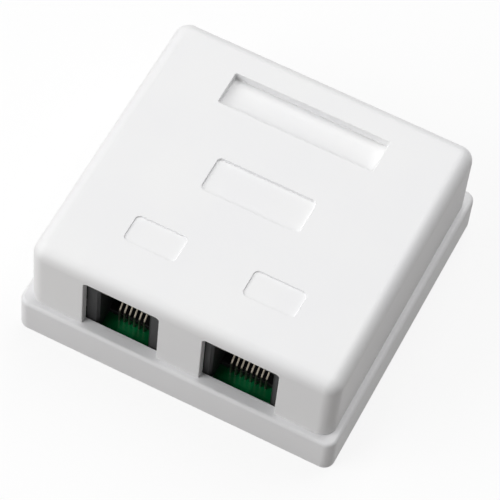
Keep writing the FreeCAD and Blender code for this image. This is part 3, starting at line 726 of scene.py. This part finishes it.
def tie_bridge():
    """A low bridge on the floor, and the slot under it for a cable tie."""
    middle = np.array((0, TIE["y"]))
    half = np.array((TIE["length"], TIE["width"])) / 2
    slot = np.array((TIE["length"] + 2 * PAST, TIE_SLOT["width"])) / 2
    high, slot_high = BASE_FLOOR + TIE["height"], BASE_FLOOR + TIE_SLOT["height"]
    return (
        block("bridge", (*(middle - half), floor_in), (*(middle + half), high), TIE["edge"], TIE["corner"]),
        block("slot", (*(middle - slot), BASE_FLOOR), (*(middle + slot), slot_high), TIE_SLOT["edge"]),
    )


def base_moulding():
    """The tray with its rounded rim, then everything that stands in it, then the holes."""
    skin = np.concatenate(
        [
            arc(-FOOT_EDGE, FOOT_EDGE, FOOT_EDGE, -90, 0),
            arc(-RIM_EDGE, rim - RIM_EDGE, RIM_EDGE, 0, 90, steps=8),
        ]
    )
    outline = rounded_rectangle(base_low[:2], base_high[:2], BASE_CORNER, steps=14)
    tray = carried("base_skin", outline, skin)
    inside = pocket_profile(BASE_FLOOR, rim, TRAY_FOOT, TRAY_LIP)
    hollow = carried("tray_hollow", rounded_rectangle(-case, case, case_corner), inside)
    fixings = [(side * FIXING["spacing"] / 2, FIXING["y"]) for side in (-1, 1)]
    collar, collar_top = FIXING["collar_radius"], BASE_FLOOR + FIXING["collar"]
    bosses = list(screw_places.values())
    bridge, slot = tie_bridge()
    added = [post("boss", place, BOSS_RADIUS, floor_in, board_under) for place in bosses]
    added += [post("pin_post", place, POST_RADIUS, floor_in, board_under) for place in pins]
    added += [post("pin", place, PIN_RADIUS, board_under - SINK, board_top, EDGE) for place in pins]
    added += [post("collar", place, collar, floor_in, collar_top, EDGE) for place in fixings]
    added += [snap_tab(side, y) for side, y in tab_places]
    for side_x, side_y in ((1, 1), (-1, 1), (-1, -1), (1, -1)):
        added += two_part_lip(side_x, side_y)
    middle, half = np.array((0, ENTRY["y"])), np.array((ENTRY["length"], ENTRY["width"])) / 2
    entry = rounded_rectangle(middle - half, middle + half, ENTRY["corner"])
    removed = [boss_hole(place) for place in bosses]
    removed += [through("fixing", circle(FIXING["radius"], *place), collar_top) for place in fixings]
    removed.append(through("entry", entry, BASE_FLOOR))
    steps = [("DIFFERENCE", hollow)] + [("UNION", tool) for tool in [*added, bridge]]
    return worked(tray, steps + [("DIFFERENCE", tool) for tool in [*removed, slot]])


shown(base_moulding(), base_abs, "base_plastic", "base")

# %% [markdown]
# ## The jacks
# A side-entry modular jack is one dark moulding: a block with a plug-shaped hole through its face,
# a stepped slot above the hole for the plug's latch, and a comb at the back that keeps the sprung
# ends of the contacts apart. In front of a low sill the block has no floor, and the contacts rise
# there from the board. Two pegs under it snap into the board. The steps of the hole could be
# pushed into a cube by hand, but an outline in the plane of the face gives each step its true size,
# and the same function then makes both jacks.

# %% Sizes of the jacks
PLUG_LENGTH = {"voice": 10.0, "data": 11.9}
PLUG_TOP = 12.25
PLUG_CORNER = 0.15
LEAD_IN = 0.5
LATCH = {"length": 6.6, "height": 1.2, "neck": 4.0, "neck_height": 0.9, "catch": 1.5, "run": 9.0}
SILL_START, SILL_HEIGHT = 4.2, 1.1
COMB = {"depth": 1.2, "height": 9.8, "margin": 0.9}
COMB_SLOT = {"width": 0.62, "floor": 6.4, "corner": 0.08}
REAR_WALL = 2.0
PEG = {"radius": 1.2, "spacing": 10.16, "setback": 8.9, "stickout": 0.4}
CONTACT_PITCH = 1.016
HAIR = 0.05  # a step that is too small to see, which keeps two faces from lying in one plane

jack_face, jack_rear = jacks["data"][0][1], jacks["data"][1][1]
comb_rear = jack_rear - REAR_WALL
print("jacks, mm:", [np.round(high - low, 2).tolist() for low, high in jacks.values()])


# %% Jacks
def contact_places(name):
    """x of each contact of a jack: x0 + (i - (n - 1) / 2) * pitch for i = 0 .. n - 1."""
    count = sum(node.startswith(name + "_contact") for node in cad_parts)
    return jack_x[name] + (np.arange(count) - (count - 1) / 2) * CONTACT_PITCH


def plug_hole(x, half):
    """The hole for the plug, with a sloped lead-in round its mouth."""
    low, high = (x - half, board_top - PAST), (x + half, board_top + PLUG_TOP)
    face = -jack_face
    profile = [(0, -comb_rear), (0, face - LEAD_IN), (LEAD_IN, face), (LEAD_IN, face + PAST)]
    return carried("plug_hole", rounded_rectangle(low, high, PLUG_CORNER), profile, "front")


def latch_slot(x):
    """The stepped slot for the latch, wide below and narrow above."""
    low = board_top + PLUG_TOP
    step, crown = low + LATCH["height"], low + LATCH["height"] + LATCH["neck_height"]
    wide, narrow = LATCH["length"] / 2, LATCH["neck"] / 2
    outline = np.array(
        [
            (-wide, low - SINK), (wide, low - SINK), (wide, step), (narrow, step),
            (narrow, crown), (-narrow, crown), (-narrow, step), (-wide, step),
        ]
    ) + (x, 0)
    face, lip = -jack_face, 2 * HAIR
    profile = [(0, face - LATCH["run"]), (0, face - lip), (lip, face), (lip, face + PAST)]
    return carried("latch_slot", softened(outline, 2 * lip, steps=3), profile, "front")


def latch_pocket(x):
    """The wide room behind the front wall, where the latch springs up and hooks."""
    low = board_top + PLUG_TOP
    half = LATCH["length"] / 2 - HAIR
    near, far = jack_face + LATCH["catch"], jack_face + LATCH["run"] - HAIR
    crown = low + LATCH["height"] + LATCH["neck_height"] - HAIR
    return block("latch_pocket", (x - half, near, low + SINK), (x + half, far, crown), 2 * HAIR)


def comb_slots(name):
    """One slot in the comb for the end of each contact."""
    half, corner = COMB_SLOT["width"] / 2, COMB_SLOT["corner"]
    low, high = board_top + COMB_SLOT["floor"], board_top + COMB["height"] + SINK
    front, rear = comb_rear - COMB["depth"] - SINK, comb_rear - HAIR
    return [
        block("comb_slot", (x - half, front, low), (x + half, rear, high), HAIR, corner)
        for x in contact_places(name)
    ]


def jack_moulding(name):
    """The block with its hole and latch slot, then the sill, comb and pegs, then the comb's slots."""
    x, (low, high) = jack_x[name], jacks[name]
    half = PLUG_LENGTH[name] / 2
    comb_half = CONTACT_PITCH * len(contact_places(name)) / 2 + COMB["margin"]
    outline = rounded_rectangle((low[0], board_top), (high[0], jack_top), EDGE, steps=3)
    depth = block_profile(-jack_rear, -jack_face, SMALL_EDGE)
    body = carried(name + "_jack_moulding", outline, depth, "front")
    sill = block(
        "sill", (x - half - SINK, jack_face + SILL_START, board_top + HAIR),
        (x + half + SINK, comb_rear + SINK, board_top + SILL_HEIGHT),
    )
    comb = block(
        "comb", (x - comb_half, comb_rear - COMB["depth"], board_top + 2 * HAIR),
        (x + comb_half, comb_rear + SINK, board_top + COMB["height"]),
    )
    pegs = [
        post(
            "peg", (x + side * PEG["spacing"] / 2, jack_face + PEG["setback"]), PEG["radius"],
            board_under - PEG["stickout"], board_top + SINK, EDGE,
        )
        for side in (-1, 1)
    ]
    steps = [("DIFFERENCE", tool) for tool in (plug_hole(x, half), latch_slot(x), latch_pocket(x))]
    steps += [("UNION", tool) for tool in (sill, comb, *pegs)]
    return worked(body, steps + [("DIFFERENCE", tool) for tool in comb_slots(name)])


for name in jacks:
    shown(jack_moulding(name), jack_pbt, "jack_plastic", name + "_jack_housing")

# %% [markdown]
# ## The spring contacts
# Each contact is flat wire, soldered into the board. It rises, bends back at the knee, and a second,
# wider bend brings it over to a shallow arm whose end rests in the comb. A plug presses the arm
# down. A curve with a bevel would make round wire, so the bent centre line is given its thickness
# as a ribbon instead, and the ribbon is carried across the width, which leaves flat sides.

# %% Contacts
CONTACT_WIDTH, CONTACT_THICKNESS, CONTACT_EDGE = 0.38, 0.36, 0.08
CONTACT_SETBACK = 3.6
CONTACT_KNEE = 3.2
CONTACT_RISE, CONTACT_RISE_RUN = 50.0, 2.3
CONTACT_TIP_HEIGHT, CONTACT_TIP_GAP = 8.5, 0.25
CONTACT_BENDS = (0.8, 4.0)
TAIL_BELOW = 1.0


def contact_wire(name, x):
    """The bent centre line in y and z, given its thickness, carried across the contact's width."""
    foot = jack_face + CONTACT_SETBACK
    knee = board_top + CONTACT_KNEE
    rise = CONTACT_RISE_RUN * math.tan(math.radians(CONTACT_RISE))
    path = [
        (foot, board_under - TAIL_BELOW), (foot, knee), (foot + CONTACT_RISE_RUN, knee + rise),
        (comb_rear - CONTACT_TIP_GAP, board_top + CONTACT_TIP_HEIGHT),
    ]
    outline = ribbon(softened(path, CONTACT_BENDS, closed=False, steps=12), CONTACT_THICKNESS)
    half = CONTACT_WIDTH / 2
    return carried(name, outline, block_profile(x - half, x + half, CONTACT_EDGE), "side")


for name in jacks:
    for number, x in enumerate(contact_places(name), start=1):
        wire = contact_wire(f"{name}_wire_{number}", x)
        shown(wire, gold_flash_painted_shade, "contact_metal", f"{name}_contact_{number}")

# %% [markdown]
# ## The terminal blocks and their clips
# Behind each jack stands a punch-down block: two rows of teeth with a channel between them. A wire
# is pressed down between two teeth, and the slit of a flat metal clip cuts its sleeve and grips it.
# The side view of the block already holds both rows and the channel, so it is carried along X, and
# each slot is one cutter through both rows. A clip is stamped from strip, so its outline is drawn
# flat and given its thickness.

# %% Sizes of the terminals
BLOCK_FOOT, BLOCK_ROW, BLOCK_CORNER, BLOCK_EDGE = 3.0, 3.8, 0.25, 0.15
CLIP_PITCH, CLIP_GAP = 3.4, 0.05
CLIP = {"width": 2.1, "thickness": 0.5, "height": 9.2, "tail": 0.6, "corner": 0.07, "edge": 0.04}
SLIT = {"width": 0.36, "floor": 5.2, "mouth": 1.1}
WIRE_SLOT = {"width": 0.9, "floor": 4.8, "mouth": 1.7}

blocks = {name: corners(name + "_terminal_block") for name in jacks}
print("terminal blocks, mm:", [np.round(high - low, 2).tolist() for low, high in blocks.values()])


# %% Terminal blocks
def clip_places(name):
    """(x, y) of each clip of a block, the front row first, each row from left to right."""
    low, high = blocks[name]
    count = sum(node.startswith(name + "_clip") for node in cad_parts) // 2
    across = jack_x[name] + (np.arange(count) - (count - 1) / 2) * CLIP_PITCH
    return [(x, y) for y in (low[1] + BLOCK_ROW / 2, high[1] - BLOCK_ROW / 2) for x in across]


def wire_slot(x, low, high):
    """A slot through both rows at once, with a funnel mouth between the tips of two teeth."""
    floor = board_top + WIRE_SLOT["floor"]
    flare = high[2] - (WIRE_SLOT["mouth"] - WIRE_SLOT["width"])
    slot, mouth = WIRE_SLOT["width"] / 2, WIRE_SLOT["mouth"] / 2
    right = [(slot, floor), (slot, flare), (mouth, high[2]), (mouth, high[2] + PAST)]
    left = [(-out, up) for out, up in reversed(right)]
    outline = softened(np.array(right + left) + (x, 0), 2 * HAIR, steps=3)
    return carried("wire_slot", outline, [(0, -high[1] - PAST), (0, -low[1] + PAST)], "front")


def block_moulding(name):
    """The side view, a foot under two rows, carried along X, then cut for wires and clips."""
    low, high = blocks[name]
    row, foot = BLOCK_ROW, board_top + BLOCK_FOOT
    outline = np.array(
        [
            low[1:], (high[1], low[2]), high[1:], (high[1] - row, high[2]), (high[1] - row, foot),
            (low[1] + row, foot), (low[1] + row, high[2]), (low[1], high[2]),
        ]
    )
    length = block_profile(low[0], high[0], BLOCK_EDGE)
    body = carried(name + "_block_moulding", softened(outline, BLOCK_CORNER), length, "side")
    half = np.array((CLIP["width"], CLIP["thickness"])) / 2 + CLIP_GAP
    crown = board_top + CLIP["height"] + CLIP_GAP
    places = np.array(clip_places(name))
    pockets = [
        block("pocket", (*(place - half), low[2] - PAST), (*(place + half), crown), HAIR, 2 * HAIR)
        for place in places
    ]
    slots = [wire_slot(x, low, high) for x in sorted(set(places[:, 0]))]
    return worked(body, [("DIFFERENCE", tool) for tool in [*slots, *pockets]])


def clip_blade(name, x, y):
    """A flat blade with a slit that narrows from its mouth, and a thin tail through the board."""
    foot, high = board_top + CLIP_GAP, board_top + CLIP["height"]
    floor, flare = board_top + SLIT["floor"], high - SLIT["mouth"]
    tail, side = CLIP["tail"] / 2, CLIP["width"] / 2
    slit, mouth = SLIT["width"] / 2, SLIT["mouth"] / 2
    right = [
        (tail, board_under - TAIL_BELOW), (tail, foot), (side, foot), (side, high), (mouth, high),
        (slit, flare), (slit, floor),
    ]
    left = [(-out, up) for out, up in reversed(right)]
    outline = softened(np.array(right + left) + (x, 0), CLIP["corner"], steps=2)
    half = CLIP["thickness"] / 2
    return carried(name, outline, block_profile(-y - half, -y + half, CLIP["edge"]), "front")


for name in jacks:
    shown(block_moulding(name), block_pbt, "block_plastic", name + "_terminal_block")
    for number, (x, y) in enumerate(clip_places(name), start=1):
        blade = clip_blade(f"{name}_blade_{number}", x, y)
        shown(blade, tinned_strip, "clip_metal", f"{name}_clip_{number}")

# %% [markdown]
# ## The board, its solder and its screws
# The board is drilled for three screws, two locating pins and the jacks' pegs. Under it each tail
# ends in a small cone of solder, drawn up the metal by its own surface tension. The screws have a
# domed head with a cross recess and a coarse thread that cuts its own way into the plastic. The
# Screw modifier can wind a thread too, but one formula for a whole grid of points is shorter, and
# it can taper both the core and the thread towards the tip.

# %% Sizes of the board, solder and screws
BOARD_CORNER, BOARD_EDGE = 1.0, 0.08
SCREW_HOLE, PIN_HOLE, PEG_HOLE = 1.3, 1.0, 1.25
SOLDER = {"contact": 0.47, "clip": 0.85, "height": 0.7, "tip": 0.7, "roll": 0.12}
SCREW = {"radius": 1.1, "core": 0.8, "length": 5.0, "point": 0.9, "pitch": 0.8}
HEAD = {"radius": 2.0, "height": 1.3, "edge": 0.5}
CROSS = {"length": 2.4, "width": 0.6, "depth": 0.7}
STEPS_ROUND, RINGS_PER_TURN = 24, 8
TIP_SHARE, CREST_POWER = 0.2, 3
print("board, mm:", np.round(board_high - board_low, 2))


# %% Board
def drilled(place, radius):
    """A plain round hole through the board."""
    profile = [(0, board_under - PAST), (0, board_top + PAST)]
    return carried("drilled", circle(radius, *place, sides=24), profile)


def board_blank():
    """A rounded rectangle of laminate with its drilled holes."""
    outline = rounded_rectangle(board_low[:2], board_high[:2], BOARD_CORNER)
    body = carried("board_blank", outline, block_profile(board_under, board_top, BOARD_EDGE))
    peg_y, peg_out = jack_face + PEG["setback"], PEG["spacing"] / 2
    pegs = [(x + side * peg_out, peg_y) for x in jack_x.values() for side in (-1, 1)]
    holes = [drilled(place, SCREW_HOLE) for place in screw_places.values()]
    holes += [drilled(place, PIN_HOLE) for place in pins]
    holes += [drilled(place, PEG_HOLE) for place in pegs]
    return worked(body, [("DIFFERENCE", tool) for tool in holes])


shown(board_blank(), board_mask, "board_laminate", "circuit_board")


# %% Solder
def solder_cone(place, radius):
    """A cone under the board, which narrows by r * (1 - tip) * (1 - t^2) at the height t."""
    t = np.linspace(0, 1, 7)
    roll = SOLDER["roll"]
    narrowing = -radius * (1 - SOLDER["tip"]) * (1 - t ** 2)
    height = board_under - SOLDER["height"] * (1 - t)
    rounded = [(narrowing[0] - roll, height[0]), (narrowing[0] - roll / 4, height[0] + roll / 3)]
    profile = np.concatenate([rounded, np.stack([narrowing, height + roll * (1 - t)], axis=1)])
    return carried("solder_cone", circle(radius, *place, sides=16), profile)


tail_y = jack_face + CONTACT_SETBACK
cones = [solder_cone((x, tail_y), SOLDER["contact"]) for name in jacks for x in contact_places(name)]
cones += [solder_cone(place, SOLDER["clip"]) for name in jacks for place in clip_places(name)]
shown(one_mesh("solder_cones", cones), solder_skin, "solder", "solder_joints")


# %% Screws
def screw_head(name, place):
    """A domed head with a cross recess."""
    high = board_top + HEAD["height"]
    dome = arc(-HEAD["edge"], high - HEAD["edge"], HEAD["edge"], 0, 90, steps=6)
    profile = np.concatenate([straight((0, board_top)), dome])
    head = carried(name, circle(HEAD["radius"], *place, sides=48), profile)
    half, floor = np.array((CROSS["length"], CROSS["width"])) / 2, high - CROSS["depth"]
    arms = [
        block("arm", (*(place - arm), floor), (*(place + arm), high + PAST), HAIR, 2 * HAIR)
        for arm in (half, half[::-1])
    ]
    return worked(head, [("DIFFERENCE", arm) for arm in arms])


def screw_thread(place):
    """Rings from the tip up, each point at the radius core + depth * wave^3.

    At height z and turn a, wave = |sin(pi * (z / pitch - a / 2 pi))|, so the crests wind up the
    shank. Near the point both the core and the thread shrink with the height over the tip.
    """
    low = board_top - SCREW["length"]
    rings = int(SCREW["length"] / SCREW["pitch"] * RINGS_PER_TURN) + 1
    z = np.linspace(0, SCREW["length"] - HAIR, rings)[:, None]
    a = np.arange(STEPS_ROUND) * 2 * np.pi / STEPS_ROUND
    wave = np.abs(np.sin(np.pi * (z / SCREW["pitch"] - a / (2 * np.pi))))
    taper = np.clip(z / SCREW["point"], TIP_SHARE, 1)
    r = taper * (SCREW["core"] + (SCREW["radius"] - SCREW["core"]) * wave ** CREST_POWER)
    points = np.stack([place[0] + r * np.cos(a), place[1] + r * np.sin(a), low + z + 0 * a], axis=-1)
    return solid("thread", points.reshape(-1, 3), ring_faces(*r.shape))


for node, place in screw_places.items():
    parts = [screw_head("head", place), screw_thread(place)]
    shown(one_mesh(node + "_turned", parts), nickel_plate, "screw_steel", node)

# %% [markdown]
# ## Floor, light and camera
# The floor is a flat sheet of matt white paper, which also takes the object's shadow. More light
# would turn it white, but would wash out the white plastic too. So a Light Path node tells the rays
# of the camera from scattered light: the camera sees nearly plain white, while the light that the
# sheet throws back at the walls stays weak, and they keep their shade. The world does the same.


# %% Floor
def paper_floor(size):
    """A flat square in metres at z = 0: x and y run from -size / 2 to size / 2."""
    square = np.array([(-1, -1, 0), (1, -1, 0), (1, 1, 0), (-1, 1, 0)]) * size / 2
    floor = solid("floor", square, [np.arange(4)])
    return floor


def seen_directly(tree):
    """1 for camera, mirror and see-through rays, and 0 for light that is only scattered on."""
    rays = add_node(tree, "ShaderNodeLightPath")
    mirror = add_node(
        tree, "ShaderNodeMath", settings={"operation": "MAXIMUM"},
        links={0: rays.outputs["Is Camera Ray"], 1: rays.outputs["Is Glossy Ray"]},
    )
    return add_node(
        tree, "ShaderNodeMath", settings={"operation": "MAXIMUM"},
        links={0: mirror.outputs["Value"], 1: rays.outputs["Is Transmission Ray"]},
    ).outputs["Value"]


FLOOR_SIZE = 6.0
SHADOW_SHARE = 0.15
STUDIO_WHITE, SCATTERED = linear("#fefefe"), linear("#aba8a6")
floor = paper_floor(FLOOR_SIZE)
paper, tree = new_material("matt_white_paper")
direct = seen_directly(tree)
colour = add_node(
    tree, "ShaderNodeMix", settings={"data_type": "RGBA"},
    inputs={6: SCATTERED, 7: STUDIO_WHITE}, links={0: direct},
)
sheet = add_node(tree, "ShaderNodeBsdfDiffuse", links={"Color": colour.outputs[2]})
lit_sheet = add_node(tree, "ShaderNodeEmission", inputs={"Color": STUDIO_WHITE, "Strength": 1.0})
share = add_node(
    tree, "ShaderNodeMath", settings={"operation": "MULTIPLY"},
    inputs={1: 1 - SHADOW_SHARE}, links={0: direct},
)
mixed = add_node(
    tree, "ShaderNodeMixShader",
    links={0: share.outputs["Value"], 1: sheet.outputs["BSDF"], 2: lit_sheet.outputs["Emission"]},
)
floor.data.materials.append(finished(paper, mixed.outputs["Shader"]))
print("floor:", paper.name, "with a side of", FLOOR_SIZE, "m")


# %% World
ROOM_LIGHT = 0.12
world = bpy.data.worlds.new("studio")
world.use_nodes = True
tree = world.node_tree
tree.nodes.clear()
room = add_node(
    tree, "ShaderNodeMapRange",
    inputs={"To Min": ROOM_LIGHT, "To Max": 1.0}, links={"Value": seen_directly(tree)},
)
sky = add_node(
    tree, "ShaderNodeBackground",
    inputs={"Color": STUDIO_WHITE}, links={"Strength": room.outputs["Result"]},
)
add_node(tree, "ShaderNodeOutputWorld", links={"Surface": sky.outputs["Background"]})
bpy.context.scene.world = world
print("room light:", ROOM_LIGHT)

# %% [markdown]
# Three soft boxes light the part. A wide one hangs overhead, a little behind and to the right, so
# the top is the brightest face and the shelf of the base is brighter than the wall beside it. One
# in front and to the left makes the front wall paler than the right one, and a weak one at the left
# reaches into the two ports.


# %% Soft boxes
def towards(azimuth, elevation):
    """The unit vector (sin a cos e, -cos a cos e, sin e), so an azimuth of 0 is in front."""
    a, e = math.radians(azimuth), math.radians(elevation)
    return Vector((math.sin(a) * math.cos(e), -math.cos(a) * math.cos(e), math.sin(e)))


def soft_box(name, azimuth, elevation, distance, size, watts):
    """A square area light at a direction and distance from the part, turned to face it."""
    data = bpy.data.lights.new(name, "AREA")
    data.shape = "SQUARE"
    data.size = size
    data.energy = watts
    lamp, away = placed(name, data), towards(azimuth, elevation)
    lamp.location = away * distance
    lamp.rotation_euler = (-away).to_track_quat("-Z", "Y").to_euler()
    return lamp


# azimuth and elevation in degrees, distance and side in metres, and power in watts
SOFT_BOXES = {
    "overhead_soft_box": (170, 62, 1.0, 0.8, 6.2),
    "front_soft_box": (-45, 34, 1.0, 0.7, 6.3),
    "left_soft_box": (-90, 35, 1.0, 0.7, 1.3),
}
lamps = [soft_box(name, *values) for name, values in SOFT_BOXES.items()]
print("lamps:", [lamp.name for lamp in lamps])

# %% [markdown]
# The camera looks down on the front right corner through a long lens from about half a metre, so
# the sides stay nearly parallel. It is turned a few degrees about its own axis.

# %% Camera
CAMERA_AZIMUTH = 20.78
CAMERA_ELEVATION = 57.42
CAMERA_ROLL = 7.11
CAMERA_DISTANCE = 548.8 * MM
LENS = 213.7  # mm, on a sensor 36 mm wide
AIM = Vector((0.98, -3.0, 11.96)) * MM

roll, back = math.radians(CAMERA_ROLL), towards(CAMERA_AZIMUTH, CAMERA_ELEVATION)
level = towards(CAMERA_AZIMUTH + 90, 0)
right = level * math.cos(roll) + back.cross(level) * math.sin(roll)
camera_data = bpy.data.cameras.new("camera")
camera_data.lens = LENS
camera_data.clip_start = 0.01
camera_data.clip_end = 20.0
camera = placed("camera", camera_data)
camera.matrix_world = Matrix.Translation(AIM + back * CAMERA_DISTANCE) @ Matrix(
    (right, back.cross(right), back)
).transposed().to_4x4()
bpy.context.scene.camera = camera
bpy.context.scene.view_settings.view_transform = "Standard"
print("camera at, mm:", [round(value / MM) for value in camera.matrix_world.translation])
